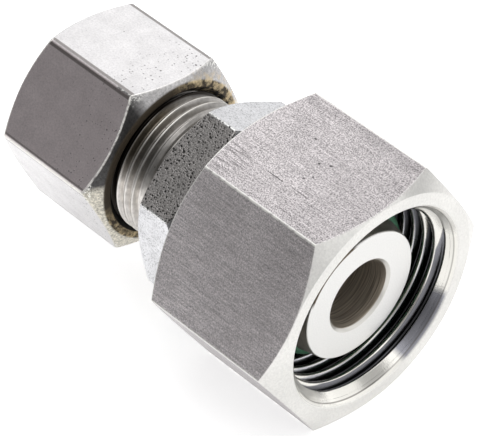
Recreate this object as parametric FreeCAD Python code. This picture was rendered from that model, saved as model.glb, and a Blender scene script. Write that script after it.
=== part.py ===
import FreeCAD, Part
import math
import os
from FreeCAD import Vector

# Hydraulic reducer: a swivel nut with a 24 degree sealing cone at one end, and a
# cutting ring with its union nut at the other. Millimetres, degrees.
# X runs along the flow axis, out of the sealing cone. The origin is the centre of
# the cone's front face. Z is up as the part lies on one flat of its swivel nut.
# Threads are drawn as plain cylinders at their pitch diameter.

# Swivel nut, M30 x 2 on 36 mm flats
SWIVEL_FLATS = 36.0
SWIVEL_LENGTH = 24.0
SWIVEL_THREAD = 30.0
SWIVEL_PITCH = 2.0
SWIVEL_MOUTH_OVER_THREAD = 1.8
SWIVEL_LIP = 0.4
SWIVEL_LEAD_IN = 2.0
SWIVEL_RELIEF_WIDTH = 2.0
SWIVEL_TRACK_LENGTH = 5.9
SWIVEL_FRONT_CIRCLE_OVER_FLATS = 0.4
SWIVEL_REAR_CIRCLE_UNDER_FLATS = 0.4
SWIVEL_EDGE_ROUND = 0.3
SWIVEL_TURN = 0.0

# Sealing cone and shank of the body
NOSE_SETBACK = 3.3
NOSE_DIAMETER = 20.0
NOSE_EDGE_BREAK = 0.12
CONE_ANGLE = 24.0
CONE_LENGTH = 9.2
SHANK_STEP = 0.54
FLOW_BORE = 10.0
FLOW_BORE_CHAMFER = 0.7

# Hexagon of the body
BODY_FLATS = 27.0
BODY_HEX_LENGTH = 8.3
BODY_CIRCLE_UNDER_FLATS = 1.4
BODY_EDGE_ROUND = 0.2
BODY_TURN = -26.8
NUT_TO_HEX = 0.9

# Threaded stub of the body, M22 x 1.5, with the tube socket
STUB_THREAD = 22.0
STUB_PITCH = 1.5
STUB_LENGTH = 15.0
STUB_NECK_LENGTH = 1.8
STUB_NECK_DEPTH = 0.35
STUB_CHAMFER = 0.8
SOCKET_DEPTH = 8.0
SOCKET_CONE_DEPTH = 5.2

# Soft seal on the cone
SEAL_SECTION = 2.4
SEAL_FROM_TIP = 4.4
SEAL_PROUD = 0.8
SEAL_GROOVE_ROOM = 0.5

# Wire that holds the swivel nut on the shank
WIRE_DIAMETER = 2.0
WIRE_FROM_REAR = 3.7
WIRE_OPEN_ANGLE = 14.0
WIRE_BEND_CORE = 0.05
WIRE_TAIL_LENGTH = 0.8
WIRE_HOOK_TURN = 150.0
FEED_HOLE_TURN = -60.0
FEED_HOLE_SLANT = 50.0

# Cutting ring for a 14 mm tube
TUBE = 14.0
RING_LENGTH = 9.6
RING_NOSE_WALL = 0.7
RING_NOSE_LENGTH = 5.0
RING_COLLAR_WALL = 2.35
RING_BACK_WALL = 0.45
RING_EDGE_SPACING = 1.7
RING_EDGE_RELIEF = 0.3

# Union nut, M22 x 1.5 on 27 mm flats
UNION_FLATS = 27.0
UNION_LENGTH = 20.5
UNION_MOUTH_OVER_THREAD = 1.2
UNION_RELIEF_WIDTH = 0.3
UNION_LAND = 4.4
UNION_NEAR_CIRCLE_UNDER_FLATS = 1.6
UNION_FAR_CIRCLE_UNDER_FLATS = 3.0
UNION_HOLE_CHAMFER = 0.5
UNION_EDGE_ROUND = 0.8
UNION_TURN = -9.2

# Angles, and a metric thread's pitch line, on the diameter, as a share of its pitch
HEX_CHAMFER_ANGLE = 30.0
NUT_SEAT_ANGLE = 45.0
PITCH_LINE = 0.6495

# Clearances, and how far a cutting shape runs past the surface it cuts
THREAD_RELIEF = 0.2
RUNNING_GAP = 0.08
THREAD_GAP = 0.08
TUBE_GAP = 0.05
NUT_HOLE_GAP = 0.15
SEAT_GAP = 0.06
SEAL_GAP = 0.02
WIRE_GAP = 0.1
WIRE_NUT_GAP = 0.15
WIRE_FEED_GAP = 0.25
CUT_MARGIN = 1.0

# Places along the axis, from the cone's front face back to the tube end
swivel_front = NOSE_SETBACK
swivel_rear = swivel_front - SWIVEL_LENGTH
hex_front = swivel_rear - NUT_TO_HEX
hex_rear = hex_front - BODY_HEX_LENGTH
stub_end = hex_rear - STUB_LENGTH
wire_x = swivel_rear + WIRE_FROM_REAR

# Radii that several pieces share
cone_slope = math.tan(math.radians(CONE_ANGLE / 2))
cone_end_radius = NOSE_DIAMETER / 2 + CONE_LENGTH * cone_slope
shank_radius = cone_end_radius + SHANK_STEP
wire_radius = WIRE_DIAMETER / 2
wire_bend = wire_radius + WIRE_BEND_CORE
tube_radius = TUBE / 2 + TUBE_GAP
socket_mouth_radius = tube_radius + SOCKET_CONE_DEPTH * cone_slope

# Where the ring's nose seats in the socket, and the nut on the ring's back
ring_nose_radius = tube_radius + RING_NOSE_WALL
seat_backoff = SEAT_GAP / math.sin(math.radians(CONE_ANGLE / 2))
ring_insertion = (socket_mouth_radius - ring_nose_radius) / cone_slope - seat_backoff
ring_front = stub_end + ring_insertion
ring_rear = ring_front - RING_LENGTH
ring_back_radius = tube_radius + RING_BACK_WALL
union_hole_radius = TUBE / 2 + NUT_HOLE_GAP
seat_slope = math.tan(math.radians(NUT_SEAT_ANGLE))
seat_apex = ring_rear + (union_hole_radius - ring_back_radius) / seat_slope
union_land_front = seat_apex - SEAT_GAP / math.sin(math.radians(NUT_SEAT_ANGLE))
union_rear = union_land_front - UNION_LAND
union_front = union_rear + UNION_LENGTH


def pitch_radius(thread, pitch):
    """Radius of the pitch line of a metric thread."""
    return (thread - PITCH_LINE * pitch) / 2


def turned(outer, inner=()):
    """Ring or rod about the X axis. Both contours are (x, radius) points from front to rear."""
    contour = list(outer)
    if inner:
        contour += reversed(inner)
    else:
        contour += [(outer[-1][0], 0.0), (outer[0][0], 0.0)]
    points = [Vector(x, 0, radius) for x, radius in contour]
    section = Part.Face(Part.makePolygon(points + points[:1]))
    return section.revolve(Vector(0, 0, 0), Vector(1, 0, 0), 360)


def hexagon_bar(flats, front, rear, edge_round, turn):
    """Hexagonal bar along X with rounded edges. At no turn a flat faces up."""
    corner = flats / math.sqrt(3)
    points = []
    for step in range(6):
        angle = math.radians(turn + 30 + 60 * step)
        points.append(Vector(rear, -corner * math.sin(angle), corner * math.cos(angle)))
    outline = Part.makePolygon(points + points[:1])
    bar = Part.Face(outline).extrude(Vector(front - rear, 0, 0))
    long_edges = [edge for edge in bar.Edges if edge.BoundBox.XLength > (front - rear) / 2]
    return bar.makeFillet(edge_round, long_edges)


def chamfered_hexagon(flats, front, rear, front_circle, rear_circle, edge_round, turn):
    """Hexagonal bar whose ends are turned down to a circle by a shallow cone."""
    rim = flats / math.sqrt(3) + CUT_MARGIN
    slope = math.tan(math.radians(HEX_CHAMFER_ANGLE))
    envelope = turned([
        (front, front_circle / 2),
        (front - (rim - front_circle / 2) * slope, rim),
        (rear + (rim - rear_circle / 2) * slope, rim),
        (rear, rear_circle / 2),
    ])
    return hexagon_bar(flats, front, rear, edge_round, turn).common(envelope)


def wire_groove(gap):
    """Round groove for the wire, with a gap around it."""
    return Part.makeTorus(shank_radius, wire_radius + gap, Vector(wire_x, 0, 0), Vector(1, 0, 0))


def around_x(shape, turn):
    """Turn a shape about the X axis, by the right hand."""
    shape.rotate(Vector(0, 0, 0), Vector(1, 0, 0), turn)
    return shape


def cone_radius(distance):
    """Radius of the sealing cone at a distance behind its front face."""
    return NOSE_DIAMETER / 2 + distance * cone_slope


def seal_groove_floor():
    """Radius of the seal groove's floor, which lets the seal stand proud of the cone."""
    return cone_radius(SEAL_FROM_TIP) + SEAL_PROUD - SEAL_SECTION - SEAL_GAP


def hook_hole():
    """Hole in the shank for the wire's bent end, just past the end of the wire's arc."""
    floor = shank_radius - wire_bend - WIRE_TAIL_LENGTH - WIRE_GAP
    foot = Vector(wire_x, wire_bend, floor)
    drill = Part.makeCylinder(wire_radius + WIRE_GAP, shank_radius, foot, Vector(0, 0, 1))
    return around_x(drill, WIRE_HOOK_TURN)


def reducer_body():
    """Turned body: sealing cone, shank, hexagon, threaded stub and tube socket."""
    front_half = turned([
        (0.0, NOSE_DIAMETER / 2 - NOSE_EDGE_BREAK),
        (-NOSE_EDGE_BREAK, cone_radius(NOSE_EDGE_BREAK)),
        (-CONE_LENGTH, cone_end_radius),
        (-CONE_LENGTH - SHANK_STEP, shank_radius),
        (hex_front, shank_radius),
    ])
    thread = pitch_radius(STUB_THREAD, STUB_PITCH) - THREAD_GAP / 2
    neck_end = hex_rear - STUB_NECK_LENGTH
    stub = turned([
        (hex_rear, thread - STUB_NECK_DEPTH),
        (neck_end, thread - STUB_NECK_DEPTH),
        (neck_end - STUB_NECK_DEPTH, thread),
        (stub_end + STUB_CHAMFER, thread),
        (stub_end, thread - STUB_CHAMFER),
    ])
    circle = BODY_FLATS - BODY_CIRCLE_UNDER_FLATS
    hexagon = chamfered_hexagon(BODY_FLATS, hex_front, hex_rear, circle, circle, BODY_EDGE_ROUND, BODY_TURN)
    body = front_half.fuse([hexagon, stub]).removeSplitter()

    socket_floor = stub_end + SOCKET_DEPTH
    passage = turned([
        (0.0, FLOW_BORE / 2 + FLOW_BORE_CHAMFER),
        (-FLOW_BORE_CHAMFER, FLOW_BORE / 2),
        (socket_floor, FLOW_BORE / 2),
        (socket_floor, tube_radius),
        (stub_end + SOCKET_CONE_DEPTH, tube_radius),
        (stub_end, socket_mouth_radius),
    ])
    half_groove = (SEAL_SECTION + SEAL_GROOVE_ROOM) / 2
    groove_front = half_groove - SEAL_FROM_TIP
    groove_rear = -half_groove - SEAL_FROM_TIP
    groove_outside = cone_radius(-groove_rear) + CUT_MARGIN
    seal_groove = turned(
        [(groove_front, groove_outside), (groove_rear, groove_outside)],
        [(groove_front, seal_groove_floor()), (groove_rear, seal_groove_floor())],
    )
    return body.cut(passage).cut(seal_groove).cut(wire_groove(WIRE_GAP)).cut(hook_hole())


def cone_seal():
    """O-ring in the groove of the sealing cone."""
    track = seal_groove_floor() + SEAL_GAP + SEAL_SECTION / 2
    return Part.makeTorus(track, SEAL_SECTION / 2, Vector(-SEAL_FROM_TIP, 0, 0), Vector(1, 0, 0))


def retaining_wire():
    """Open ring of round wire, half in the shank and half in the nut, hooked into the shank."""
    end = Vector(wire_x, 0, shank_radius)
    bend_centre = end - Vector(0, 0, wire_bend)
    bend_end = bend_centre + Vector(0, wire_bend, 0)
    section = Part.Face(Part.Wire(Part.makeCircle(wire_radius, end, Vector(0, 1, 0))))
    ring = section.revolve(Vector(0, 0, 0), Vector(1, 0, 0), 360 - WIRE_OPEN_ANGLE)
    bend = section.revolve(bend_centre, Vector(1, 0, 0), -90)
    tail = Part.makeCylinder(wire_radius, WIRE_TAIL_LENGTH, bend_end, Vector(0, 0, -1))
    return around_x(ring.fuse([bend, tail]), WIRE_HOOK_TURN)


def feed_hole():
    """Slanted hole through one flat of the swivel nut, where the wire is fed into its groove."""
    start = Vector(wire_x, 0, shank_radius)
    drill = Part.makeCylinder(wire_radius + WIRE_FEED_GAP, SWIVEL_FLATS, start, Vector(0, -1, 0))
    return around_x(drill, FEED_HOLE_TURN - FEED_HOLE_SLANT)


def swivel_nut():
    """Hexagonal nut that turns on the shank, with the thread for the larger stub."""
    front_circle = SWIVEL_FLATS + SWIVEL_FRONT_CIRCLE_OVER_FLATS
    rear_circle = SWIVEL_FLATS - SWIVEL_REAR_CIRCLE_UNDER_FLATS
    blank = chamfered_hexagon(
        SWIVEL_FLATS, swivel_front, swivel_rear, front_circle, rear_circle, SWIVEL_EDGE_ROUND, SWIVEL_TURN)
    mouth = (SWIVEL_THREAD + SWIVEL_MOUTH_OVER_THREAD) / 2
    thread = pitch_radius(SWIVEL_THREAD, SWIVEL_PITCH)
    relief = SWIVEL_THREAD / 2 + THREAD_RELIEF
    track = shank_radius + RUNNING_GAP
    seat_rear = swivel_rear + SWIVEL_TRACK_LENGTH
    relief_rear = seat_rear + (relief - track) / seat_slope
    relief_front = relief_rear + SWIVEL_RELIEF_WIDTH
    passage = turned([
        (swivel_front, mouth),
        (swivel_front - SWIVEL_LIP, mouth - SWIVEL_LIP),
        (swivel_front - SWIVEL_LEAD_IN, thread),
        (relief_front + (relief - thread), thread),
        (relief_front, relief),
        (relief_rear, relief),
        (seat_rear, track),
        (swivel_rear, track),
    ])
    return blank.cut(passage).cut(wire_groove(WIRE_NUT_GAP)).cut(feed_hole())


def cutting_ring():
    """Hardened ring with two cutting edges, a conical nose and a bevelled back."""
    nose_end = ring_front - RING_NOSE_LENGTH
    nose_end_radius = ring_nose_radius + RING_NOSE_LENGTH * cone_slope
    collar = tube_radius + RING_COLLAR_WALL
    collar_front = nose_end - (collar - nose_end_radius)
    bevel_front = ring_rear + (collar - ring_back_radius) / seat_slope
    first_edge_back = ring_front - RING_EDGE_SPACING
    second_edge_back = first_edge_back - RING_EDGE_SPACING
    return turned(
        [
            (ring_front, ring_nose_radius),
            (nose_end, nose_end_radius),
            (collar_front, collar),
            (bevel_front, collar),
            (ring_rear, ring_back_radius),
        ],
        [
            (ring_front, tube_radius + RING_EDGE_RELIEF),
            (ring_front - RING_EDGE_RELIEF, tube_radius),
            (first_edge_back + RING_EDGE_RELIEF, tube_radius),
            (first_edge_back + RING_EDGE_RELIEF, tube_radius + RING_EDGE_RELIEF),
            (second_edge_back, tube_radius + RING_EDGE_RELIEF),
            (second_edge_back, tube_radius),
            (ring_rear, tube_radius),
        ],
    )


def union_nut():
    """Hexagonal nut that drives the cutting ring into the socket."""
    near_circle = UNION_FLATS - UNION_NEAR_CIRCLE_UNDER_FLATS
    far_circle = UNION_FLATS - UNION_FAR_CIRCLE_UNDER_FLATS
    blank = chamfered_hexagon(
        UNION_FLATS, union_front, union_rear, near_circle, far_circle, UNION_EDGE_ROUND, UNION_TURN)
    mouth = (STUB_THREAD + UNION_MOUTH_OVER_THREAD) / 2
    thread = pitch_radius(STUB_THREAD, STUB_PITCH) + THREAD_GAP / 2
    relief = STUB_THREAD / 2 + THREAD_RELIEF
    seat_front = union_land_front + (relief - union_hole_radius) / seat_slope
    relief_front = seat_front + UNION_RELIEF_WIDTH
    passage = turned([
        (union_front, mouth),
        (union_front - (mouth - thread), thread),
        (relief_front + (relief - thread), thread),
        (relief_front, relief),
        (seat_front, relief),
        (union_land_front, union_hole_radius),
        (union_rear + UNION_HOLE_CHAMFER, union_hole_radius),
        (union_rear, union_hole_radius + UNION_HOLE_CHAMFER),
    ])
    return blank.cut(passage)


PIECES = {
    "reducer_body": reducer_body,
    "cone_seal": cone_seal,
    "retaining_wire": retaining_wire,
    "swivel_nut": swivel_nut,
    "cutting_ring": cutting_ring,
    "union_nut": union_nut,
}

os.makedirs("parts", exist_ok=True)
for name, build in PIECES.items():
    piece = build()
    piece.exportStep(f"parts/{name}.step")
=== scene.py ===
import math
import bmesh
import bpy
from mathutils import Matrix, Vector


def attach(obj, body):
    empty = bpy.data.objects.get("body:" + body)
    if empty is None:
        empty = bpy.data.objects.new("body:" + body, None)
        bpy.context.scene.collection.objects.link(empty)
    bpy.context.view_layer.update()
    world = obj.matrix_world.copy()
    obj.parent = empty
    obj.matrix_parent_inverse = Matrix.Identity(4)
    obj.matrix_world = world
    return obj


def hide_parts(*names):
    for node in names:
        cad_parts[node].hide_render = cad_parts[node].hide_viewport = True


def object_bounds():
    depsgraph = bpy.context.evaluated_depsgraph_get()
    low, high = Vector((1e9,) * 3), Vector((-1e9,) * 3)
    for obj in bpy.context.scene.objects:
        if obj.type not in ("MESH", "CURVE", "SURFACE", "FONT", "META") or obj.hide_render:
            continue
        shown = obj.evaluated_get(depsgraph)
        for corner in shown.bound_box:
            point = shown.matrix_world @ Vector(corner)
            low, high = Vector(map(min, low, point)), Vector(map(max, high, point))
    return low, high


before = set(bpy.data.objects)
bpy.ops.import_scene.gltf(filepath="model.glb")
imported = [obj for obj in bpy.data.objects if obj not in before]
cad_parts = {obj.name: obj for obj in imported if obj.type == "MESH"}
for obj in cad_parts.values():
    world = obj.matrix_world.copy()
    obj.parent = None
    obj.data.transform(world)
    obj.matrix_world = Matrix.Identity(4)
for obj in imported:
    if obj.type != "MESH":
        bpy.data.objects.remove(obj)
cad_low, cad_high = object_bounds()

# Sizes in metres, in the part's frame: X out of the sealing cone, Z up
MM = 0.001
HEX_SLOPE = math.tan(math.radians(30))
CONE_SLOPE = math.tan(math.radians(12))

# Fineness of the meshes
AROUND = 192
THREAD_AROUND = 128
FLANK_STEPS = 5
WIRE_GROOVE_STEPS = 8
CORNER_SEGMENTS = 6
EDGE_SEGMENTS = 3
SMOOTH_ANGLE = 25

# Margins that keep a thread's skin clear of the walls and faces round it
WALL_MARGIN = 0.03 * MM
FACE_MARGIN = 0.1 * MM
RELIEF_MARGIN = 0.05 * MM

# Swivel nut. The circles are where its chamfers start, and the blank reaches past the corners
SWIVEL_FLATS = 36.0 * MM
SWIVEL_BLANK = 22.0 * MM
SWIVEL_FRONT = 3.3 * MM
SWIVEL_REAR = -20.7 * MM
SWIVEL_FRONT_CIRCLE = 17.88 * MM
SWIVEL_REAR_CIRCLE = 17.8 * MM
SWIVEL_CORNER_ROUND = 0.3 * MM
SWIVEL_EDGE_WIDTH = 0.05 * MM
SWIVEL_CREST = 13.92 * MM
SWIVEL_ROOT = 15.05 * MM
SWIVEL_PITCH = 2.0 * MM
SWIVEL_THREAD_START = -12.12 * MM
SWIVEL_THREAD_TURNS = 7
SWIVEL_BORE = 12.5755 * MM
SWIVEL_BORE_BREAK = 0.2 * MM
SWIVEL_SEAT_REAR = -14.8 * MM
SWIVEL_RELIEF = 15.2 * MM
SWIVEL_RELIEF_REAR = -12.176 * MM
SWIVEL_RELIEF_FRONT = -10.176 * MM
LEAD_IN_SLOPE = 0.65
LEAD_IN_FRONT = 2.8 * MM
LEAD_IN_RADIUS = 15.35 * MM

# Turned body
BODY_FLATS = 27.0 * MM
BODY_TURN = -26.8
BODY_CIRCLE = 12.8 * MM
BODY_CORNER_ROUND = 0.2 * MM
BODY_EDGE_WIDTH = 0.08 * MM
HEX_FRONT = -21.6 * MM
HEX_REAR = -29.9 * MM
CONE_FRONT_RADIUS = 10.0 * MM
CONE_REAR = -9.2 * MM
SEAL_GROOVE_FRONT = -2.95 * MM
SEAL_GROOVE_REAR = -5.85 * MM
SEAL_GROOVE_FLOOR = 9.315 * MM
SHANK = 12.4955 * MM
SHANK_FRONT = -9.74 * MM
WIRE_PLACE = -17.0 * MM
WIRE_ROOM = 1.1 * MM
NECK = 10.12 * MM
NECK_FILLET = 0.3 * MM
NECK_END = -31.7 * MM
STUB_END = -44.9 * MM
STUB_CREST = 10.97 * MM
STUB_ROOT = 10.08 * MM
STUB_PITCH = 1.5 * MM
STUB_THREAD_START = -46.12 * MM
STUB_THREAD_TURNS = 10
STUB_END_RADIUS = 10.2 * MM
STUB_SUNK_RADIUS = 10.0 * MM
RUN_OUT_SLOPE = 0.7
SOCKET_FLOOR = -36.9 * MM
SOCKET_MOUTH = 8.155 * MM
SOCKET_CONE_DEPTH = 5.2 * MM
TUBE_BORE = 7.05 * MM
FLOW_BORE = 5.0 * MM

# Union nut
UNION_FLATS = 27.0 * MM
UNION_TURN = -9.2
UNION_FRONT = -37.2167 * MM
UNION_REAR = -57.7167 * MM
UNION_FRONT_CIRCLE = 12.7 * MM
UNION_REAR_CIRCLE = 12.0 * MM
UNION_CORNER_ROUND = 0.9 * MM
UNION_EDGE_WIDTH = 0.3 * MM
UNION_CREST = 10.25 * MM
UNION_ROOT = 11.06 * MM
UNION_THREAD_START = -49.5 * MM
UNION_THREAD_TURNS = 8
UNION_THREAD_REAR = -48.9 * MM
UNION_MOUTH = 11.6 * MM
UNION_MOUTH_END = -37.74 * MM
UNION_RELIEF = 11.2 * MM
UNION_RELIEF_REAR = -49.267 * MM
UNION_RELIEF_FRONT = -48.967 * MM
UNION_LAND = -53.3167 * MM
UNION_HOLE = 7.15 * MM
UNION_HOLE_BREAK = 0.5 * MM
SMALL_BLANK = 17.0 * MM

# Ways across the axis, as shares of Y and Z, that painted light and shade follow, and with them some marks
# of use
SWIVEL_LEFT_WAY = (-0.866, 0.5)
BODY_SHADE_WAY = (-0.548, 0.837)
UNION_LEFT_WAY = (-0.775, 0.632)
UNION_SHADOW_WAY = (-0.94, -0.34)

# Floor, with the distances where it starts and ends to turn dim, lamp and camera
FLOOR_SIZE = 6.0
FLOOR_FADE = (0.12, 0.22)
LAMP_AIM = Vector((-0.02, 0, 0))
CAMERA_PLACE = Vector((189.420, -200.172, 286.086)) * MM
CAMERA_RIGHT = Vector((0.69266, 0.72118, -0.01056))
CAMERA_UP = Vector((-0.50103, 0.49164, 0.71222))
CAMERA_LENS = 221.125
CAMERA_SENSOR = 36.0


def only(obj):
    """Select one object and nothing else."""
    bpy.ops.object.select_all(action="DESELECT")
    obj.select_set(True)
    bpy.context.view_layer.objects.active = obj


def open_edit(obj):
    """Start editing one object by its vertices."""
    only(obj)
    bpy.ops.object.mode_set(mode="EDIT")
    bpy.ops.mesh.select_mode(type="VERT")


def close_edit():
    """Leave edit mode."""
    bpy.ops.object.mode_set(mode="OBJECT")


def drawn(name, contour):
    """Draw a line through (x, radius) points in the XZ plane, by extruding one vertex."""
    bpy.ops.object.select_all(action="DESELECT")
    first_x, first_radius = contour[0]
    bpy.ops.mesh.primitive_plane_add(size=MM, location=(first_x, 0, first_radius))
    obj = bpy.context.object
    obj.name = name
    bpy.ops.object.transform_apply(location=True, rotation=True, scale=True)
    open_edit(obj)
    bpy.ops.mesh.select_all(action="SELECT")
    bpy.ops.mesh.merge(type="CENTER")
    for before, after in zip(contour, contour[1:]):
        step = (after[0] - before[0], 0, after[1] - before[1])
        bpy.ops.mesh.extrude_region_move(TRANSFORM_OT_translate={"value": step})
    close_edit()
    return obj


def tidy_skin(obj):
    """Merge the seam and turn all faces outwards."""
    open_edit(obj)
    bpy.ops.mesh.select_all(action="SELECT")
    bpy.ops.mesh.remove_doubles(threshold=0.0005 * MM)
    bpy.ops.mesh.normals_make_consistent(inside=False)
    close_edit()


def turned(name, contour):
    """Turn a closed contour of (x, radius) points about the X axis."""
    obj = drawn(name, contour + contour[:1])
    open_edit(obj)
    bpy.ops.mesh.select_all(action="SELECT")
    bpy.ops.mesh.spin(steps=AROUND, angle=2 * math.pi, center=(0, 0, 0), axis=(1, 0, 0))
    close_edit()
    tidy_skin(obj)
    return obj


def select_edges(obj, wanted):
    """In edit mode, select the edges for which wanted(edge) is true."""
    bpy.ops.mesh.select_mode(type="EDGE")
    bpy.ops.mesh.select_all(action="DESELECT")
    mesh = bmesh.from_edit_mesh(obj.data)
    for edge in mesh.edges:
        edge.select = wanted(edge)
    bmesh.update_edit_mesh(obj.data)


def hexagon_bar(name, flats, turn, corner_round):
    """Long hexagonal bar with rounded corners. At no turn a flat faces up."""
    length = 200 * MM
    bpy.ops.object.select_all(action="DESELECT")
    bpy.ops.mesh.primitive_cylinder_add(
        vertices=6, radius=flats / math.sqrt(3), depth=length, rotation=(0, math.pi / 2, 0))
    bar = bpy.context.object
    bar.name = name
    bpy.ops.object.transform_apply(location=True, rotation=True, scale=True)
    bar.rotation_euler = (math.radians(turn), 0, 0)
    bpy.ops.object.transform_apply(location=True, rotation=True, scale=True)
    open_edit(bar)
    select_edges(bar, lambda edge: abs(edge.verts[0].co.x - edge.verts[1].co.x) > length / 2)
    bpy.ops.mesh.bevel(
        offset=corner_round * HEX_SLOPE, segments=CORNER_SEGMENTS, profile=0.5, affect="EDGES")
    close_edit()
    return bar


def milled(obj, flats, turn, corner_round, edge_width):
    """Mill the six flats on a turned blank, then break the edges round them."""
    bar = hexagon_bar("milling_bar", flats, turn, corner_round)
    modifier = obj.modifiers.new("intersect", "BOOLEAN")
    modifier.operation = "INTERSECT"
    modifier.solver = "EXACT"
    modifier.object = bar
    only(obj)
    bpy.ops.object.modifier_apply(modifier=modifier.name)
    bpy.data.objects.remove(bar)
    tidy_skin(obj)

    def on_bar(face):
        outward = face.normal.dot(face.calc_center_median())
        return abs(face.normal.x) < 0.01 and outward > flats / 2 - 0.02 * MM

    def round_a_flat(edge):
        return len(edge.link_faces) == 2 and on_bar(edge.link_faces[0]) != on_bar(edge.link_faces[1])

    open_edit(obj)
    select_edges(obj, round_a_flat)
    bpy.ops.mesh.bevel(
        offset=edge_width, segments=EDGE_SEGMENTS, profile=0.5, affect="EDGES", clamp_overlap=False)
    close_edit()
    return obj


def smoothed(obj):
    """Smooth shading that keeps the large faces flat."""
    only(obj)
    bpy.ops.object.shade_smooth_by_angle(angle=math.radians(SMOOTH_ANGLE))
    modifier = obj.modifiers.new("face_weight", "WEIGHTED_NORMAL")
    modifier.keep_sharp = True
    bpy.ops.object.modifier_apply(modifier=modifier.name)
    return obj


def thread_skin(name, pitch, turns, start, high, high_half, low, low_half, limit):
    """Right-hand thread as a skin. high and low are its two radii, with half the width of each land."""
    falling = []
    for step in range(FLANK_STEPS + 1):
        share = step / FLANK_STEPS
        along = high_half + share * (pitch / 2 - low_half - high_half)
        falling.append((along, high + share * (low - high)))
    rising = [(pitch - along, radius) for along, radius in reversed(falling)]
    section = [(0.0, high)] + falling + [(pitch / 2, low)] + rising + [(pitch, high)]
    obj = drawn(name, [(start + along, radius) for along, radius in section])
    screw = obj.modifiers.new("screw", "SCREW")
    screw.axis = "X"
    screw.angle = 2 * math.pi
    screw.screw_offset = pitch
    screw.iterations = turns
    screw.steps = THREAD_AROUND
    screw.render_steps = THREAD_AROUND
    only(obj)
    bpy.ops.object.modifier_apply(modifier=screw.name)
    for vertex in obj.data.vertices:
        radius = math.hypot(vertex.co.y, vertex.co.z)
        vertex.co.x, allowed = limit(vertex.co.x, radius)
        vertex.co.y *= allowed / radius
        vertex.co.z *= allowed / radius
    tidy_skin(obj)
    return obj


def mount_piece(obj, body, material, node=None):
    """Let a finished piece ride on its body, with its finish."""
    obj.data.materials.clear()
    obj.data.materials.append(material)
    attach(obj, body)
    if node:
        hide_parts(node)
    return obj


def hex_envelope(front, rear, front_circle, rear_circle, blank):
    """Outer contour of a chamfered hexagon's blank, from front to rear."""
    return [
        (front, front_circle),
        (front - (blank - front_circle) * HEX_SLOPE, blank),
        (rear + (blank - rear_circle) * HEX_SLOPE, blank),
        (rear, rear_circle),
    ]


def swivel_lead_in(x):
    """Radius of the lead-in cone of the swivel nut's thread."""
    return LEAD_IN_RADIUS - (LEAD_IN_FRONT - x) * LEAD_IN_SLOPE


def swivel_limit(x, radius):
    """Keep the swivel nut's thread behind its lead-in cone and in front of its relief."""
    x = min(x, LEAD_IN_FRONT - FACE_MARGIN)
    hidden = WALL_MARGIN if swivel_lead_in(x) > SWIVEL_ROOT else 0.0
    radius = max(radius, swivel_lead_in(x) + hidden)
    if x < SWIVEL_RELIEF_FRONT + FACE_MARGIN:
        radius = max(radius, SWIVEL_RELIEF + RELIEF_MARGIN)
    return x, radius


def union_limit(x, radius):
    """Keep the union nut's thread behind its mouth cone and in front of its relief."""
    x = min(x, UNION_FRONT - FACE_MARGIN)
    hidden = WALL_MARGIN if x > UNION_MOUTH_END else 0.0
    radius = max(radius, UNION_MOUTH + (x - UNION_FRONT) + hidden)
    if x < UNION_THREAD_REAR:
        radius = max(radius, UNION_RELIEF + RELIEF_MARGIN)
    return x, radius


def stub_limit(x, radius):
    """Run the stub's thread out at its neck, chamfer it at its end, and sink what reaches past both."""
    x = max(x, STUB_END + 0.03 * MM)
    radius = min(radius, NECK - 0.01 * MM + (NECK_END - x) * RUN_OUT_SLOPE)
    radius = min(radius, STUB_END_RADIUS + (x - STUB_END))
    if x > NECK_END or x < STUB_END + 0.05 * MM:
        radius = min(radius, STUB_SUNK_RADIUS)
    return x, radius


def swivel_nut():
    """Large nut: chamfered hexagon, worn mouth, lead-in cone, relief, seat and running bore."""
    wall = SWIVEL_ROOT + WALL_MARGIN
    wall_front = LEAD_IN_FRONT - (LEAD_IN_RADIUS - wall) / LEAD_IN_SLOPE
    envelope = hex_envelope(
        SWIVEL_FRONT, SWIVEL_REAR, SWIVEL_FRONT_CIRCLE, SWIVEL_REAR_CIRCLE, SWIVEL_BLANK)
    inside = [
        (SWIVEL_REAR, SWIVEL_BORE + SWIVEL_BORE_BREAK),
        (SWIVEL_REAR + SWIVEL_BORE_BREAK, SWIVEL_BORE),
        (SWIVEL_SEAT_REAR, SWIVEL_BORE),
        (SWIVEL_RELIEF_REAR, SWIVEL_RELIEF),
        (SWIVEL_RELIEF_FRONT, SWIVEL_RELIEF),
        (SWIVEL_RELIEF_FRONT, wall),
        (wall_front, wall),
        (LEAD_IN_FRONT, LEAD_IN_RADIUS),
    ]
    worn_mouth = [
        (LEAD_IN_FRONT + 0.08 * MM, 15.41 * MM),
        (SWIVEL_FRONT - 0.06 * MM, 15.84 * MM),
        (SWIVEL_FRONT, 15.93 * MM),
    ]
    blank = turned("swivel_nut_piece", envelope + inside + worn_mouth)
    return smoothed(milled(blank, SWIVEL_FLATS, 0.0, SWIVEL_CORNER_ROUND, SWIVEL_EDGE_WIDTH))


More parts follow.
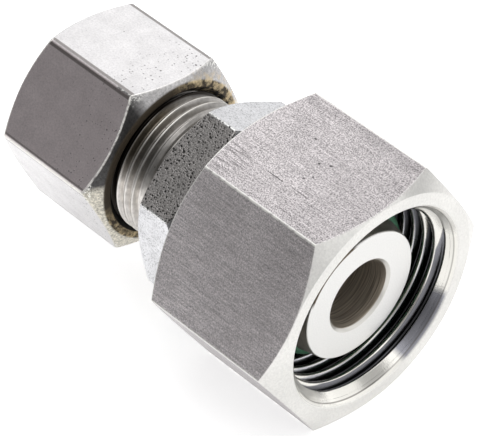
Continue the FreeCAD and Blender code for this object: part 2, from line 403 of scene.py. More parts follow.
def reducer_body():
    """Body: sealing cone with its groove, shank with the wire's groove, hexagon, stub and passage."""
    def cone(x):
        return CONE_FRONT_RADIUS - x * CONE_SLOPE

    nose = [
        (0.0, 9.86 * MM),
        (-0.04 * MM, 9.95 * MM),
        (-0.14 * MM, cone(-0.14 * MM)),
        (SEAL_GROOVE_FRONT, cone(SEAL_GROOVE_FRONT)),
        (SEAL_GROOVE_FRONT, SEAL_GROOVE_FLOOR),
        (SEAL_GROOVE_REAR, SEAL_GROOVE_FLOOR),
        (SEAL_GROOVE_REAR, cone(SEAL_GROOVE_REAR)),
        (CONE_REAR, cone(CONE_REAR)),
        (SHANK_FRONT, SHANK),
    ]
    wire_groove = []
    for step in range(WIRE_GROOVE_STEPS + 1):
        angle = math.pi * step / WIRE_GROOVE_STEPS
        wire_groove.append((WIRE_PLACE + WIRE_ROOM * math.cos(angle), SHANK - WIRE_ROOM * math.sin(angle)))
    hexagon = hex_envelope(HEX_FRONT, HEX_REAR, BODY_CIRCLE, BODY_CIRCLE, SMALL_BLANK)
    stub = [
        (HEX_REAR, NECK + NECK_FILLET),
        (HEX_REAR - NECK_FILLET, NECK),
        (NECK_END, NECK),
        (NECK_END - 0.06 * MM, STUB_ROOT - WALL_MARGIN),
        (STUB_END, STUB_ROOT - WALL_MARGIN),
    ]
    passage = [
        (STUB_END, SOCKET_MOUTH),
        (STUB_END + SOCKET_CONE_DEPTH, TUBE_BORE),
        (SOCKET_FLOOR, TUBE_BORE),
        (SOCKET_FLOOR, FLOW_BORE),
    ]
    worn_bore_edge = [
        (-1.6 * MM, FLOW_BORE),
        (-0.42 * MM, 5.34 * MM),
        (-0.05 * MM, 5.72 * MM),
        (0.0, 5.82 * MM),
    ]
    outside = nose + wire_groove + [(HEX_FRONT, SHANK)] + hexagon + stub
    blank = turned("reducer_body_piece", outside + passage + worn_bore_edge)
    return smoothed(milled(blank, BODY_FLATS, BODY_TURN, BODY_CORNER_ROUND, BODY_EDGE_WIDTH))


def union_nut():
    """Small nut: worn hexagon, mouth, wall behind the thread, relief, seat and the tube's hole."""
    wall = UNION_ROOT + WALL_MARGIN
    envelope = [
        (UNION_FRONT, 12.45 * MM),
        (UNION_FRONT - 0.08 * MM, 12.65 * MM),
        (UNION_FRONT - (SMALL_BLANK - UNION_FRONT_CIRCLE) * HEX_SLOPE, SMALL_BLANK),
        (UNION_REAR + (SMALL_BLANK - UNION_REAR_CIRCLE) * HEX_SLOPE, SMALL_BLANK),
        (UNION_REAR + 0.3 * MM, 12.2 * MM),
        (UNION_REAR, 11.5 * MM),
    ]
    inside = [
        (UNION_REAR, UNION_HOLE + UNION_HOLE_BREAK),
        (UNION_REAR + UNION_HOLE_BREAK, UNION_HOLE),
        (UNION_LAND, UNION_HOLE),
        (UNION_RELIEF_REAR, UNION_RELIEF),
        (UNION_RELIEF_FRONT, UNION_RELIEF),
        (UNION_RELIEF_FRONT, wall),
        (UNION_FRONT - (UNION_MOUTH - wall), wall),
        (UNION_FRONT - 0.15 * MM, UNION_MOUTH - 0.15 * MM),
        (UNION_FRONT, UNION_MOUTH + 0.1 * MM),
    ]
    blank = turned("union_nut_piece", envelope + inside)
    return smoothed(milled(blank, UNION_FLATS, UNION_TURN, UNION_CORNER_ROUND, UNION_EDGE_WIDTH))


def node(tree, kind, **settings):
    """Add a shader node. Settings that name a socket go to it, the others to the node."""
    made = tree.nodes.new("ShaderNode" + kind)
    for key, value in settings.items():
        if hasattr(made, key):
            setattr(made, key, value)
        else:
            put(tree, made, key.replace("_", " "), value)
    return made


def put(tree, target, socket, value):
    """Link a socket to the given output, or set its value."""
    place = target.inputs[socket]
    if isinstance(value, bpy.types.NodeSocket):
        tree.links.new(value, place)
    else:
        place.default_value = value


def math_node(tree, operation, first, second=0.0):
    """One step of arithmetic."""
    made = node(tree, "Math", operation=operation)
    put(tree, made, 0, first)
    put(tree, made, 1, second)
    return made.outputs[0]


def product(tree, *values):
    """Multiply several values."""
    result = values[0]
    for value in values[1:]:
        result = math_node(tree, "MULTIPLY", result, value)
    return result


def either(tree, *values):
    """The largest of several values."""
    result = values[0]
    for value in values[1:]:
        result = math_node(tree, "MAXIMUM", result, value)
    return result


def ramp(tree, value, low, high, to_low=0.0, to_high=1.0):
    """Map a value from low and high to two results, held at the ends."""
    made = node(tree, "MapRange", clamp=True, Value=value, From_Min=low, From_Max=high)
    put(tree, made, "To Min", to_low)
    put(tree, made, "To Max", to_high)
    return made.outputs[0]


def factor(tree, mask, off, on):
    """A factor that goes from off to on with a mask."""
    return ramp(tree, mask, 0.0, 1.0, off, on)


def rest_of(tree, mask):
    """The mask of all that another mask leaves out."""
    return factor(tree, mask, 1.0, 0.0)


def varied(tree, noise, low, high):
    """A factor that follows the middle range of a noise."""
    return ramp(tree, noise, 0.3, 0.7, low, high)


def mix_value(tree, share, first, second):
    """Mix two values by a share."""
    made = node(tree, "Mix", data_type="FLOAT")
    put(tree, made, 0, share)
    put(tree, made, 2, first)
    put(tree, made, 3, second)
    return made.outputs[0]


def mix_colour(tree, share, first, second):
    """Mix two colours by a share. A colour is an output, or its red, green and blue."""
    made = node(tree, "Mix", data_type="RGBA")
    put(tree, made, 0, share)
    for socket, colour in ((6, first), (7, second)):
        put(tree, made, socket, (*colour, 1) if isinstance(colour, tuple) else colour)
    return made.outputs[2]


def shaded(tree, colour, shade):
    """A colour made lighter or darker by a factor."""
    made = node(tree, "VectorMath", operation="SCALE", Scale=shade)
    put(tree, made, 0, colour)
    return made.outputs[0]


def noise_at(tree, place, scale, detail=2.0, stretch=(1, 1, 1), roughness=0.5):
    """Noise at a place in millimetres, stretched along an axis where wanted."""
    mapping = node(tree, "Mapping", Vector=place, Scale=stretch)
    made = node(
        tree, "TexNoise", Vector=mapping.outputs[0], Scale=scale, Detail=detail, Roughness=roughness)
    return made.outputs[0]


def ragged(tree, place, scale, amount):
    """Shift a place by noise, so that round spots turn irregular."""
    made = node(tree, "TexNoise", Vector=place, Scale=scale, Detail=2.0)
    shifted = node(tree, "VectorMath", operation="MULTIPLY_ADD")
    put(tree, shifted, 0, made.outputs["Color"])
    put(tree, shifted, 1, (amount, amount, amount))
    put(tree, shifted, 2, place)
    return shifted.outputs[0]


def pits_at(tree, place, spacing, size, share):
    """Small pits, 1 in a pit and 0 outside. Spacing and size in millimetres, share of cells with a pit."""
    smallest = 0.3 * size / spacing
    spread = 0.7 * size / spacing
    uneven = ragged(tree, place, 2.0 / size, 0.7 * size)
    cells = node(tree, "TexVoronoi", Vector=uneven, Scale=1.0 / spacing)
    pick = node(tree, "SeparateColor", Color=cells.outputs["Color"])
    present = math_node(tree, "LESS_THAN", pick.outputs[0], share)
    radius = math_node(tree, "ADD", product(tree, pick.outputs[1], spread), smallest)
    inside = ramp(tree, math_node(tree, "SUBTRACT", radius, cells.outputs["Distance"]), 0.0, smallest)
    return product(tree, inside, present)


def spot_at(tree, place, centre, reach):
    """One mark at a place, 1 in its middle and 0 at its reach along X, Y and Z. Millimetres."""
    offset = node(tree, "VectorMath", operation="SUBTRACT")
    put(tree, offset, 0, place)
    put(tree, offset, 1, centre)
    scaled = node(tree, "VectorMath", operation="DIVIDE")
    put(tree, scaled, 0, offset.outputs[0])
    put(tree, scaled, 1, reach)
    length = node(tree, "VectorMath", operation="LENGTH")
    put(tree, length, 0, scaled.outputs[0])
    return ramp(tree, length.outputs["Value"], 0.6, 1.0, 1.0, 0.0)


def spots_at(tree, place, level, spots):
    """Several marks on the flat at one level. Each has its X and Y, and its reach along both."""
    marks = []
    for x, y, reach_x, reach_y in spots:
        marks.append(spot_at(tree, place, (x, y, level), (reach_x, reach_y, 1.0)))
    return either(tree, *marks)


def axis_parts(tree, place):
    """X, Y and Z in millimetres, and the distance from the flow axis."""
    parts = node(tree, "SeparateXYZ", Vector=place).outputs
    squares = math_node(tree, "ADD", product(tree, parts[1], parts[1]), product(tree, parts[2], parts[2]))
    return parts[0], parts[1], parts[2], math_node(tree, "SQRT", squares)


def reach_along(tree, y, z, way):
    """How far a point lies from the axis along a way, which is given as its shares of Y and Z."""
    return math_node(tree, "ADD", product(tree, y, way[0]), product(tree, z, way[1]))


def facing(tree, y, z, radius, angle):
    """Cosine between a point's direction from the axis and an angle, from straight up towards +Y."""
    turn = math.radians(angle)
    return math_node(tree, "DIVIDE", reach_along(tree, y, z, (math.sin(turn), math.cos(turn))), radius)


def hexagon_parts(tree, place, turn):
    """How far a point reaches towards the nearest flat, and towards the nearest corner, of a hexagon."""
    level = node(tree, "Mapping", Vector=place, Rotation=(-math.radians(turn), 0, 0))
    parts = node(tree, "SeparateXYZ", Vector=level.outputs[0]).outputs
    across = math_node(tree, "ABSOLUTE", parts[1])
    upward = math_node(tree, "ABSOLUTE", parts[2])
    next_side = (math.cos(math.radians(30)), math.sin(math.radians(30)))
    to_flat = either(tree, upward, reach_along(tree, across, upward, next_side))
    to_corner = either(tree, across, reach_along(tree, upward, across, next_side))
    return to_flat, to_corner


def chamfer_depth(tree, x, radius, front, front_circle, rear, rear_circle):
    """How far a point lies inside the turned chamfers of a hexagon. Planes and circles in metres."""
    from_front = math_node(tree, "SUBTRACT", front / MM, x)
    from_rear = math_node(tree, "SUBTRACT", x, rear / MM)
    front_cone = math_node(tree, "ADD", math_node(tree, "DIVIDE", from_front, HEX_SLOPE), front_circle / MM)
    rear_cone = math_node(tree, "ADD", math_node(tree, "DIVIDE", from_rear, HEX_SLOPE), rear_circle / MM)
    return math_node(tree, "SUBTRACT", math_node(tree, "MINIMUM", front_cone, rear_cone), radius)


def metal(name, colour, roughness):
    """Plain steel material: returns it, its tree, its shader and object coordinates in millimetres."""
    material = bpy.data.materials.new(name)
    material.use_nodes = True
    tree = material.node_tree
    shader = tree.nodes["Principled BSDF"]
    shader.inputs["Metallic"].default_value = 1.0
    shader.inputs["Roughness"].default_value = roughness
    shader.inputs["Base Color"].default_value = (*colour, 1)
    place = shaded(tree, node(tree, "TexCoord").outputs["Object"], 1 / MM)
    return material, tree, shader, place


def bump(tree, shader, height, distance):
    """Bump of a height map that is distance millimetres high."""
    made = node(tree, "Bump", Strength=1.0, Distance=distance * MM, Height=height)
    put(tree, shader, "Normal", made.outputs[0])


def swivel_steel():
    """Milled flats with grain and tool lines, brighter turned faces, grooves darkened as painted shade with
    bright crests, painted highlights on the edges, a painted sheen and a painted reflection.
    """
    material, tree, shader, place = metal("milled_steel", (0.62, 0.60, 0.61), 0.34)
    x, y, z, radius = axis_parts(tree, place)
    flat = SWIVEL_FLATS / 2 / MM
    to_flat, to_corner = hexagon_parts(tree, place, 0.0)
    depth = chamfer_depth(
        tree, x, radius, SWIVEL_FRONT, SWIVEL_FRONT_CIRCLE, SWIVEL_REAR, SWIVEL_REAR_CIRCLE)
    turned_face = ramp(tree, to_flat, flat - 0.07, flat - 0.02, 1.0, 0.0)
    outside = ramp(tree, radius, 15.6, 15.9)
    inside = rest_of(tree, outside)

    # Grain, tool lines and scored spots of the milled flats. The left flat is painted lighter as painted
    # light, and the flats are darker towards the front and along a strip near the top flat's +Y edge
    grain = noise_at(tree, place, 5.4)
    lines = noise_at(tree, place, 1.0, stretch=(0.25, 4.6, 4.6))
    cloud = noise_at(tree, place, 0.16, 3.0)
    top_flat = ramp(tree, z, flat - 0.1, flat - 0.04)
    rough_grain = mix_value(
        tree, top_flat, varied(tree, grain, 0.62, 1.4), ramp(tree, grain, 0.34, 0.61, 0.42, 1.27))
    scored = spots_at(tree, place, flat, (
        (-18.0, -6.5, 3.4, 3.6),
        (-5.0, -5.2, 3.6, 0.9),
        (-5.6, -8.4, 2.2, 0.5)))
    score_lines = product(tree, scored, ramp(tree, lines, 0.42, 0.5, 1.0, 0.0))
    far_strip = product(tree, ramp(tree, z, 17.0, 17.5), ramp(tree, y, 8.1, 8.5))
    left_flat = ramp(tree, reach_along(tree, y, z, SWIVEL_LEFT_WAY), flat - 0.2, flat - 0.1)
    milled_shade = product(
        tree, rough_grain, varied(tree, lines, 0.8, 1.15), factor(tree, score_lines, 1.0, 0.66),
        varied(tree, cloud, 0.93, 1.06), ramp(tree, x, -20.0, 2.0, 1.05, 0.88),
        factor(tree, far_strip, 1.0, 0.86), factor(tree, left_flat, 1.0, 1.13))
    turned_shade = product(
        tree, varied(tree, noise_at(tree, place, 3.0), 0.92, 1.06), varied(tree, cloud, 0.94, 1.04))
    colour = mix_colour(
        tree, turned_face, shaded(tree, (0.58, 0.545, 0.553), milled_shade),
        shaded(tree, (0.73, 0.72, 0.695), turned_shade))

    # Edges between the flats, and round the chamfers, painted lighter as wear and as painted highlight
    edge = product(tree, ramp(tree, to_corner, 20.64, 20.7), outside)
    rim = product(
        tree, ramp(tree, depth, 0.34, 0.14), rest_of(tree, turned_face),
        ramp(tree, x, -3.0, -1.0, 1.0, 0.4))
    wear_and_highlight = product(
        tree, either(tree, edge, rim), ramp(tree, noise_at(tree, place, 1.4), 0.35, 0.5, 0.5, 1.0))
    colour = mix_colour(tree, wear_and_highlight, colour, (0.9, 0.89, 0.86))

    # Thread: how deep a point lies behind its crests, and the flanks that catch the light. The grooves are
    # darkened by depth as painted shade, the lit flanks are left out of it, and a painted slate sheen lies
    # on the flanks on one side
    lead_in_axis = LEAD_IN_RADIUS / MM - LEAD_IN_FRONT / MM * LEAD_IN_SLOPE
    cone = math_node(tree, "ADD", product(tree, x, LEAD_IN_SLOPE), lead_in_axis)
    groove = math_node(tree, "SUBTRACT", radius, either(tree, cone, SWIVEL_CREST / MM + 0.01))
    lit_right = product(
        tree, ramp(tree, facing(tree, y, z, radius, 58), 0.80, 0.96, 0.0, 0.75), ramp(tree, x, -2.4, -2.0))
    lit_left = ramp(tree, facing(tree, y, z, radius, 236), 0.88, 0.98, 0.0, 0.5)
    lit_depth = math_node(tree, "SUBTRACT", either(tree, lit_right, lit_left), groove)
    groove_shade = product(
        tree, ramp(tree, groove, 0.02, 0.09), inside, ramp(tree, x, 2.6, 2.4),
        ramp(tree, lit_depth, 0.0, 0.15, 1.0, 0.0))
    groove_colour = mix_colour(tree, ramp(tree, x, -2.5, -0.5), (0.5, 0.5, 0.53), (0.15, 0.15, 0.165))
    deep = either(tree, ramp(tree, groove, 0.25, 0.7), ramp(tree, x, 0.6, 1.0))
    groove_colour = mix_colour(tree, deep, groove_colour, (0.07, 0.07, 0.075))
    sheen = product(
        tree, groove_shade, ramp(tree, facing(tree, y, z, radius, 50), 0.6, 0.85), ramp(tree, groove, 0.85, 0.5))
    groove_colour = mix_colour(tree, sheen, groove_colour, (0.30, 0.30, 0.34))

    # Lead-in cone, with a painted slate reflection at its lower right and dull bands where it would mirror
    # the dark
    lead_in = product(tree, inside, ramp(tree, x, 0.9, 1.2))
    slate_reflection = product(tree, lead_in, ramp(tree, facing(tree, y, z, radius, 138), 0.925, 0.95))
    dull_band = product(tree, lead_in, either(
        tree, ramp(tree, facing(tree, y, z, radius, 53), 0.90, 0.95),
        ramp(tree, facing(tree, y, z, radius, 243), 0.90, 0.95)))
    colour = mix_colour(tree, inside, colour, (0.76, 0.745, 0.70))
    colour = mix_colour(tree, slate_reflection, colour, (0.29, 0.29, 0.32))
    colour = mix_colour(tree, groove_shade, colour, groove_colour)

    # Fine painted shade line where the lead-in cone meets the mouth's chamfer, on its lower left and on its
    # right
    mouth_line = product(tree, ramp(tree, x, 2.70, 2.76), ramp(tree, x, 2.92, 2.86), inside)
    left_line = product(tree, mouth_line, ramp(tree, z, -6.0, -10.0), ramp(tree, y, 4.0, 0.0), 0.7)
    right_line = product(tree, mouth_line, ramp(tree, facing(tree, y, z, radius, 100), 0.2, 0.5), 0.5)
    colour = mix_colour(tree, either(tree, left_line, right_line), colour, (0.12, 0.11, 0.10))

    # Pits on the top flat where they are, and a few small ones elsewhere
    cluster = spots_at(tree, place, flat, (
        (-8.8, 0.75, 0.26, 0.22),
        (-7.35, 1.55, 0.3, 0.24),
        (-8.25, -2.65, 0.26, 0.22),
        (-7.55, -1.6, 0.22, 0.2),
        (-12.5, 3.8, 0.26, 0.18),
        (-11.1, -5.05, 2.0, 0.11)))
    pits = either(tree, cluster, product(tree, pits_at(tree, place, 1.9, 0.14, 0.3), outside))
    colour = mix_colour(tree, product(tree, pits, 0.8), colour, (0.03, 0.03, 0.03))

    put(tree, shader, "Base Color", colour)
    put(tree, shader, "Roughness", either(
        tree, product(tree, wear_and_highlight, 0.65), factor(tree, inside, 0.34, 0.18)))
    put(tree, shader, "Metallic", factor(tree, either(tree, sheen, dull_band), 1.0, 0.3))
    relief = math_node(tree, "ADD", product(tree, lines, 0.6), product(tree, grain, 0.4))
    bump(tree, shader, math_node(tree, "SUBTRACT", relief, pits), 0.015)
    return material


def body_steel():
    """Bright nose, the cone behind it darkened as painted shade, pitted hexagon with one flat painted
    darker as shade, thread with painted shade and painted highlights on its crests, brown bore.
    """
    material, tree, shader, place = metal("turned_steel", (0.62, 0.61, 0.60), 0.3)
    x, y, z, radius = axis_parts(tree, place)
    flat = BODY_FLATS / 2 / MM
    hex_front = HEX_FRONT / MM
    hex_rear = HEX_REAR / MM
    to_corner = hexagon_parts(tree, place, BODY_TURN)[1]
    cloud = noise_at(tree, place, 0.3, 3.0)
    speck = noise_at(tree, place, 5.0)

    # Where each part of the body lies
    hexagon = product(
        tree, ramp(tree, x, hex_front + 0.2, hex_front), ramp(tree, x, hex_rear - 0.05, hex_rear + 0.05))
    thread = ramp(tree, x, hex_rear + 0.1, hex_rear - 0.05)
    bore_edge = product(tree, ramp(tree, radius, 7.2, 7.0), ramp(tree, x, -0.45, -0.42))
    nose = either(tree, ramp(tree, x, -0.3, -0.1), bore_edge)
    bore = ramp(tree, radius, 5.42, 5.37)
    shaded_flat = ramp(tree, reach_along(tree, y, z, BODY_SHADE_WAY), flat - 0.3, flat - 0.1)

    # Nose, with a painted shadow line at its left edge, and the cone behind it darkened as painted shade
    plain = shaded(tree, (0.42, 0.40, 0.36), varied(tree, cloud, 0.85, 1.15))
    face = shaded(tree, (0.73, 0.725, 0.71), varied(tree, speck, 0.95, 1.04))
    face = mix_colour(tree, ramp(tree, radius, 5.9, 5.8), face, (0.60, 0.585, 0.55))
    colour = mix_colour(tree, nose, plain, face)
    nose_shadow_line = product(
        tree, ramp(tree, radius, 9.74, 9.8), ramp(tree, facing(tree, y, z, radius, -35), 0.85, 0.9),
        ramp(tree, x, -2.0, -1.8))
    colour = mix_colour(tree, nose_shadow_line, colour, (0.13, 0.105, 0.08))

    # Hexagon, mottled on its shaded flat, which is painted darker and warmer as painted shade
    mottled = mix_value(
        tree, shaded_flat, ramp(tree, speck, 0.28, 0.72, 0.82, 1.12), varied(tree, speck, 0.45, 1.4))
    hex_shade = product(tree, mottled, varied(tree, cloud, 0.9, 1.1), factor(tree, shaded_flat, 1.0, 0.74))
    hex_colour = mix_colour(tree, shaded_flat, (0.79, 0.79, 0.81), (0.85, 0.81, 0.79))
    colour = mix_colour(tree, hexagon, colour, shaded(tree, hex_colour, hex_shade))

    # Thread, with painted shade: lighter lower down and towards +Y, darker near the union nut and darkest
    # in a ring where the union nut's mouth shuts it in, with painted highlights on its crests
    crest = math_node(tree, "SUBTRACT", STUB_CREST / MM, radius)
    by_mouth = ramp(tree, x, -38.4, -38.0)
    near_nut = product(
        tree, ramp(tree, x, -33.8, -36.6), ramp(tree, z, 4.0, 7.0), ramp(tree, y, 2.0, -2.0), by_mouth)
    groove_colour = mix_colour(tree, near_nut, (0.31, 0.297, 0.283), (0.17, 0.15, 0.12))
    thread_shade = product(
        tree, ramp(tree, z, 6.8, 2.4, 1.0, 2.4), ramp(tree, y, -3.0, 3.0, 1.0, 1.2),
        varied(tree, noise_at(tree, place, 1.2, 3.0), 0.82, 1.16),
        varied(tree, noise_at(tree, place, 1.0, 1.0, (9, 0.3, 0.3)), 0.9, 1.1))
    thread_colour = shaded(tree, groove_colour, thread_shade)
    crest_highlight = product(tree, ramp(tree, crest, 0.06, 0.01), ramp(tree, cloud, 0.35, 0.6, 0.6, 1.0))
    thread_colour = mix_colour(tree, crest_highlight, thread_colour, (0.72, 0.70, 0.66))
    shut_in = product(tree, ramp(tree, x, -36.7, -37.0), by_mouth)
    thread_colour = mix_colour(tree, shut_in, thread_colour, (0.02, 0.017, 0.014))
    colour = mix_colour(tree, thread, colour, thread_colour)

    # Bore with turned rings
    rings = noise_at(tree, place, 1.0, stretch=(6, 0.15, 0.15))
    bore_colour = shaded(tree, (0.37, 0.325, 0.27), varied(tree, rings, 0.5, 1.5))
    colour = mix_colour(tree, bore, colour, bore_colour)

    # Corners painted lighter as wear and as painted highlight, and pits that crowd on the shaded flat
    wear_and_highlight = product(tree, ramp(tree, to_corner, 15.46, 15.53), hexagon)
    colour = mix_colour(tree, wear_and_highlight, colour, (0.85, 0.85, 0.84))
    patches = ramp(tree, noise_at(tree, place, 0.22), 0.36, 0.5, 0.7, 1.0)
    coarse = product(
        tree, pits_at(tree, place, 0.38, 0.25, 0.8), patches, factor(tree, shaded_flat, 0.25, 1.0))
    fine = product(
        tree, pits_at(tree, place, 0.27, 0.14, 0.8), patches, factor(tree, shaded_flat, 0.5, 1.0))
    few = product(tree, pits_at(tree, place, 1.4, 0.2, 0.3), thread)
    pits = either(tree, product(tree, either(tree, coarse, fine), hexagon), few)
    colour = mix_colour(tree, product(tree, pits, 0.92), colour, (0.02, 0.02, 0.02))

    put(tree, shader, "Base Color", colour)
    put(tree, shader, "Metallic", factor(tree, bore, 1.0, 0.55))
    bump(tree, shader, math_node(tree, "SUBTRACT", product(tree, rings, 0.5), pits), 0.02)
    return material


def union_steel():
    """Worn flats with pits and a chipped rim, edges painted lighter as wear and as painted highlight, a
    cone painted from black shade on its left to lighter cream below, golden dirt and painted black shade in
    the mouth.
    """
    material, tree, shader, place = metal("worn_steel", (0.72, 0.71, 0.71), 0.32)
    x, y, z, radius = axis_parts(tree, place)
    flat = UNION_FLATS / 2 / MM
    to_flat, to_corner = hexagon_parts(tree, place, UNION_TURN)
    depth = chamfer_depth(
        tree, x, radius, UNION_FRONT, UNION_FRONT_CIRCLE, UNION_REAR, UNION_REAR_CIRCLE)
    turned_face = ramp(tree, to_flat, flat - 0.1, flat - 0.03, 1.0, 0.0)
    on_flat = rest_of(tree, turned_face)
    left_side = reach_along(tree, y, z, UNION_LEFT_WAY)
    left_flat = ramp(tree, left_side, flat - 0.3, flat - 0.1)
    front_cone = product(tree, turned_face, ramp(tree, x, -42.0, -41.5))

    # Flats, the left one mauve and darker as painted shade
    cloud = noise_at(tree, place, 0.4, 4.0)
    speck = noise_at(tree, place, 4.0)
    flat_shade = product(tree, varied(tree, cloud, 0.93, 1.06), varied(tree, speck, 0.9, 1.09))
    flat_colour = mix_colour(tree, left_flat, (0.78, 0.765, 0.77), (0.74, 0.665, 0.675))
    colour = shaded(tree, flat_colour, flat_shade)

    # Front cone, painted dark on its left as painted shade and cream painted lighter below, with painted
    # glints near the corners
    mottled = noise_at(tree, place, 2.6, 4.0, roughness=0.7)
    cone_shade = product(
        tree, ramp(tree, reach_along(tree, y, z, UNION_SHADOW_WAY), -0.8, 1.4, 0.52, 0.095),
        varied(tree, mottled, 0.65, 1.35))
    cone_colour = shaded(tree, (0.92, 0.90, 0.90), cone_shade)
    cream = shaded(tree, (0.80, 0.76, 0.66), ramp(tree, mottled, 0.36, 0.6, 0.45, 1.08))
    cone_colour = mix_colour(tree, ramp(tree, z, 3.4, 2.2), cone_colour, cream)
    colour = mix_colour(tree, front_cone, colour, cone_colour)
    sparkle = product(tree, front_cone, ramp(tree, to_corner, 14.2, 14.6), ramp(tree, mottled, 0.52, 0.6))
    colour = mix_colour(tree, sparkle, colour, (0.9, 0.9, 0.86))

    # Edges and rim painted lighter, as wear and as painted highlight, with a painted shade line beside
    # them. The upper edge is painted dark as shade with a fine painted highlight line
    upper = ramp(tree, z, 6.0, 8.0)
    edge = mix_value(
        tree, upper, ramp(tree, to_corner, 15.38, 15.43), ramp(tree, to_corner, 15.45, 15.475, 0.0, 0.55))
    rim = product(
        tree, ramp(tree, depth, 0.66, 0.5), ramp(tree, to_flat, flat - 0.2, flat - 0.12),
        ramp(tree, left_side, flat - 0.4, flat - 0.2, 0.3, 1.0))
    wear_and_highlight = product(
        tree, either(tree, edge, rim), ramp(tree, noise_at(tree, place, 1.6, 3.0), 0.36, 0.5, 0.35, 1.0),
        ramp(tree, x, -57.2, -56.6))
    near_corner = product(tree, ramp(tree, to_corner, 15.2, 15.26), on_flat)
    beside = product(tree, near_corner, ramp(tree, to_corner, 15.38, 15.34), 0.55)
    colour = mix_colour(
        tree, either(tree, beside, product(tree, near_corner, upper, 0.75)), colour, (0.16, 0.14, 0.13))
    colour = mix_colour(tree, wear_and_highlight, colour, (0.92, 0.90, 0.86))

    # Mouth and inside: dark brown, and black deeper in as painted shade, with golden dirt on the right and
    # below
    front_mouth = product(tree, ramp(tree, x, -37.75, -37.6), ramp(tree, radius, 12.95, 12.7))
    thread_hole = product(tree, ramp(tree, radius, 11.7, 11.5), ramp(tree, x, -49.2, -48.9))
    mouth = either(tree, front_mouth, thread_hole)
    gold = ramp(tree, noise_at(tree, place, 0.9, 4.0, roughness=0.65), 0.42, 0.62)
    gold_side = either(tree, ramp(tree, y, 0.5, 4.5), ramp(tree, z, -1.0, -5.0))
    rim_gold = product(tree, gold, ramp(tree, radius, 11.6, 11.8), gold_side)
    dirt_and_shade = mix_colour(tree, rim_gold, (0.06, 0.045, 0.028), (0.74, 0.60, 0.36))
    dirt_and_shade = mix_colour(tree, ramp(tree, radius, 11.72, 11.64), dirt_and_shade, (0.012, 0.01, 0.008))
    colour = mix_colour(tree, mouth, colour, dirt_and_shade)
    fringe = product(
        tree, front_cone, ramp(tree, gold, 0.2, 0.8), ramp(tree, y, 3.5, 7.5),
        ramp(tree, radius, 14.4, 12.9), 0.75)
    colour = mix_colour(tree, fringe, colour, (0.62, 0.50, 0.32))

    # Pits, most of them near the front edge
    near_edge = product(tree, ramp(tree, x, -46.5, -41.0), on_flat)
    fine = product(tree, pits_at(tree, place, 0.46, 0.17, 0.5), factor(tree, near_edge, 0.12, 1.0))
    coarse = product(
        tree, pits_at(tree, place, 1.7, 0.2, 0.3), on_flat, factor(tree, left_flat, 1.0, 0.3))
    pits = either(tree, fine, coarse)
    colour = mix_colour(tree, product(tree, pits, 0.8), colour, (0.05, 0.04, 0.045))

    # The left flat's chipped rim shows white, not as metal
    chipped = product(
        tree, rim, left_flat, ramp(tree, x, -44.0, -43.0), ramp(tree, mottled, 0.44, 0.56, 0.25, 1.0))
    put(tree, shader, "Base Color", colour)
    put(tree, shader, "Roughness", either(
        tree, product(tree, wear_and_highlight, 0.6), product(tree, mouth, 0.65), 0.32))
    put(tree, shader, "Metallic", math_node(
        tree, "MINIMUM", factor(tree, mouth, 1.0, 0.4), factor(tree, chipped, 1.0, 0.05)))
    burr = product(tree, rim, noise_at(tree, place, 2.4), 9.0)
    relief = math_node(tree, "ADD", noise_at(tree, place, 2.0, 4.0), burr)
    bump(tree, shader, math_node(tree, "SUBTRACT", relief, pits), 0.02)
    return material


def plain_steel(name, colour, roughness):
    """Clean steel with a soft cloud of darker steel."""
    material, tree, shader, place = metal(name, colour, roughness)
    darker = tuple(0.8 * channel for channel in colour)
    cloud = noise_at(tree, place, 0.8, 3.0)
    put(tree, shader, "Base Color", mix_colour(tree, ramp(tree, cloud, 0.3, 0.7), darker, colour))
    return material


def green_rubber():
    """Dull green rubber of the seal."""
    material = bpy.data.materials.new("green_rubber")
    material.use_nodes = True
    tree = material.node_tree
    shader = tree.nodes["Principled BSDF"]
    shader.inputs["Roughness"].default_value = 0.42
    coordinates = node(tree, "TexCoord")
    made = node(tree, "TexNoise", Vector=coordinates.outputs["Object"], Scale=900.0, Detail=2.0)
    put(tree, shader, "Base Color", mix_colour(
        tree, made.outputs[0], (0.035, 0.14, 0.075), (0.06, 0.22, 0.12)))
    return material


def pale_floor():
    """Wide pale floor under the nut's lowest flat. Far from the part it turns dim."""
    bpy.ops.object.select_all(action="DESELECT")
    bpy.ops.mesh.primitive_plane_add(size=FLOOR_SIZE, location=(0, 0, cad_low.z))
    floor = bpy.context.object
    floor.name = "floor"
    material = bpy.data.materials.new("pale_floor")
    material.use_nodes = True
    tree = material.node_tree
    shader = tree.nodes["Principled BSDF"]
    shader.inputs["Roughness"].default_value = 1.0
    shader.inputs["Specular IOR Level"].default_value = 0.0
    away = node(tree, "VectorMath", operation="LENGTH")
    put(tree, away, 0, node(tree, "TexCoord").outputs["Object"])
    near = ramp(tree, away.outputs["Value"], *FLOOR_FADE, 1.0, 0.0)
    put(tree, shader, "Base Color", mix_colour(tree, near, (0.3, 0.3, 0.3), (0.85, 0.85, 0.85)))

    # What the camera sees, and what the part mirrors, has a glow of its own
    path = node(tree, "LightPath")
    mirrored = either(tree, path.outputs["Is Glossy Ray"], path.outputs["Is Transmission Ray"])
    watched = product(tree, path.outputs["Is Camera Ray"], factor(tree, near, 1.0, 0.64))
    shader.inputs["Emission Color"].default_value = (1, 1, 1, 1)
    put(tree, shader, "Emission Strength", either(tree, watched, product(tree, mirrored, near, 0.5)))
    floor.data.materials.append(material)


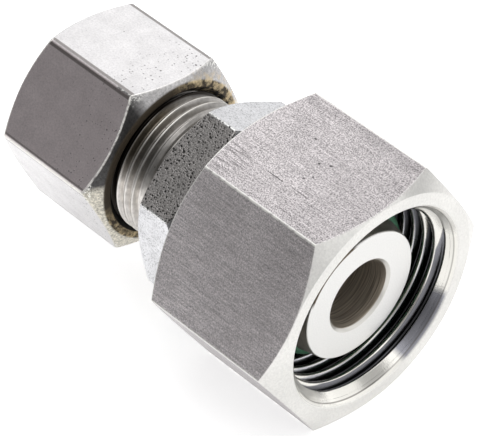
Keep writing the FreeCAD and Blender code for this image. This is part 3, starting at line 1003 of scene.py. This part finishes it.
def soft_world():
    """Soft room: bright towards the right and the front, dim at the left, with one window."""
    world = bpy.data.worlds.new("soft_room")
    bpy.context.scene.world = world
    world.use_nodes = True
    tree = world.node_tree
    background = tree.nodes["Background"]
    direction = node(tree, "TexCoord").outputs["Generated"]

    def towards(way):
        share = node(tree, "VectorMath", operation="DOT_PRODUCT")
        put(tree, share, 0, direction)
        put(tree, share, 1, way)
        return share.outputs["Value"]

    side = node(
        tree, "MapRange", interpolation_type="SMOOTHSTEP", Value=towards((0.35, 1.0, 0.0)),
        From_Min=-0.75, From_Max=0.65, To_Min=0.22, To_Max=1.18)
    window = ramp(tree, towards(Vector((0.60, -0.05, 0.80)).normalized()), 0.965, 0.985, 0.0, 0.5)
    ceiling = ramp(tree, towards(Vector((0.52, 0.40, 0.76)).normalized()), 0.93, 0.97, 1.0, 0.45)
    skyline = ramp(tree, towards((0, 0, 1)), 0.05, 0.28, 0.26, 0.0)
    level = math_node(tree, "ADD", product(tree, side.outputs[0], ceiling), window)
    background.inputs["Color"].default_value = (1, 1, 1, 1)
    put(tree, background, "Strength", math_node(tree, "ADD", level, skyline))


def soft_lamp(name, place, size, power):
    """Square lamp that faces the part."""
    lamp = bpy.data.lights.new(name, "AREA")
    lamp.shape = "SQUARE"
    lamp.size = size
    lamp.energy = power
    obj = bpy.data.objects.new(name, lamp)
    bpy.context.scene.collection.objects.link(obj)
    obj.location = place
    obj.rotation_euler = (LAMP_AIM - Vector(place)).to_track_quat("-Z", "Y").to_euler()


def photo_camera():
    """Camera at the place worked out from the corners and circles of the three hexagons."""
    camera = bpy.data.cameras.new("camera")
    camera.lens = CAMERA_LENS
    camera.sensor_width = CAMERA_SENSOR
    camera.clip_start = 0.01
    camera.clip_end = 20.0
    obj = bpy.data.objects.new("camera", camera)
    bpy.context.scene.collection.objects.link(obj)
    turn = Matrix((CAMERA_RIGHT, CAMERA_UP, CAMERA_RIGHT.cross(CAMERA_UP))).transposed()
    obj.matrix_world = Matrix.Translation(CAMERA_PLACE) @ turn.to_4x4()
    bpy.context.scene.camera = obj


steel_swivel = swivel_steel()
steel_body = body_steel()
steel_union = union_steel()
solid_materials = {
    "cutting_ring": plain_steel("hardened_steel", (0.50, 0.49, 0.47), 0.3),
    "retaining_wire": plain_steel("drawn_steel", (0.58, 0.57, 0.56), 0.25),
    "cone_seal": green_rubber(),
}

# The three visible pieces with their threads. Each thread's lands are given by half their width
mount_piece(swivel_nut(), "swivel", steel_swivel, "swivel_nut")
swivel_thread = thread_skin(
    "swivel_thread", SWIVEL_PITCH, SWIVEL_THREAD_TURNS, SWIVEL_THREAD_START,
    SWIVEL_ROOT, 0.14 * MM, SWIVEL_CREST, 0.25 * MM, swivel_limit)
mount_piece(swivel_thread, "swivel", steel_swivel)

mount_piece(reducer_body(), "body", steel_body, "reducer_body")
stub_thread = thread_skin(
    "stub_thread", STUB_PITCH, STUB_THREAD_TURNS, STUB_THREAD_START,
    STUB_CREST, 0.1 * MM, STUB_ROOT, 0.125 * MM, stub_limit)
mount_piece(stub_thread, "body", steel_body)

mount_piece(union_nut(), "union", steel_union, "union_nut")
union_thread = thread_skin(
    "union_thread", STUB_PITCH, UNION_THREAD_TURNS, UNION_THREAD_START,
    UNION_ROOT, 0.1 * MM, UNION_CREST, 0.19 * MM, union_limit)
mount_piece(union_thread, "union", steel_union)

# The other solids are seen as they were built
for name, material in solid_materials.items():
    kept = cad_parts[name]
    kept.data.materials.clear()
    kept.data.materials.append(material)

pale_floor()
soft_world()
soft_lamp("overhead", (-0.05, 0.1, 0.9), 0.9, 2.6)
photo_camera()
bpy.context.scene.view_settings.view_transform = "Standard"
